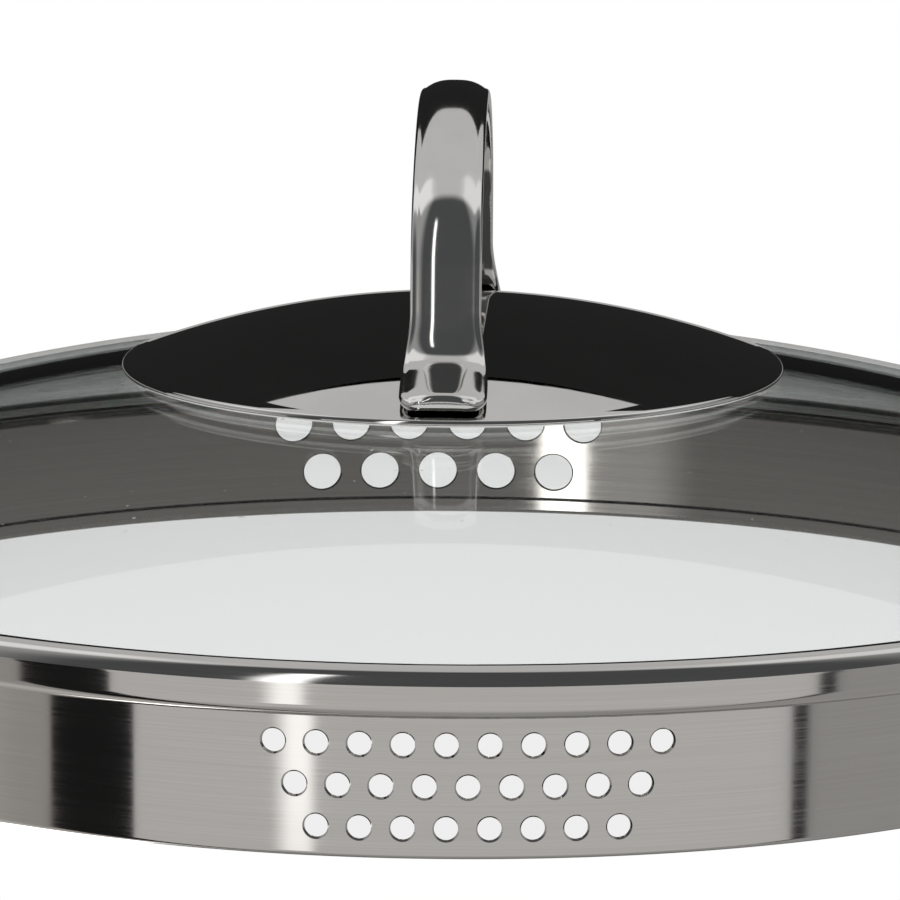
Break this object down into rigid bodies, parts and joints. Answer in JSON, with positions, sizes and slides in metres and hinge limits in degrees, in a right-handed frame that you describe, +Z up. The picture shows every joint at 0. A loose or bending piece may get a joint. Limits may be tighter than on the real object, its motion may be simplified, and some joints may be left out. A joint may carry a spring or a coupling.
{
  "type": "glass strainer lid",
  "caption": "Domed glass saucepan lid in a stepped steel rim with pouring holes, with a dished centre plate and a strap handle.",
  "frame": {"origin": "on the axis of the lid, level with the bottom edge of the skirt", "axes": "+Z up along the lid's axis; the handle runs along Y; the small strainer holes are on the -Y side and the large ones on the +Y side"},
  "size_m": [0.2106, 0.2106, 0.0748],
  "materials": {
    "brushed_rim": "bright stainless steel with a fine brushed grain that runs round the rim",
    "polished_steel": "mirror polished stainless steel",
    "plain_steel": "plain machined stainless steel",
    "lid_glass": "clear tempered glass with a faint green edge",
    "silicone": "translucent pale grey silicone"
  },
  "bodies": {
    "root": {"strainer_rim": "brushed_rim", "glass_dome": "lid_glass", "edge_seal": "silicone", "handle_plate": "polished_steel", "plate_gasket": "silicone", "handle_bow": "polished_steel", "centre_boss": "plain_steel", "hole_bush": "silicone", "seal_washer": "silicone", "steel_washer": "plain_steel", "handle_screw": "plain_steel"}
  },
  "joints": []
}
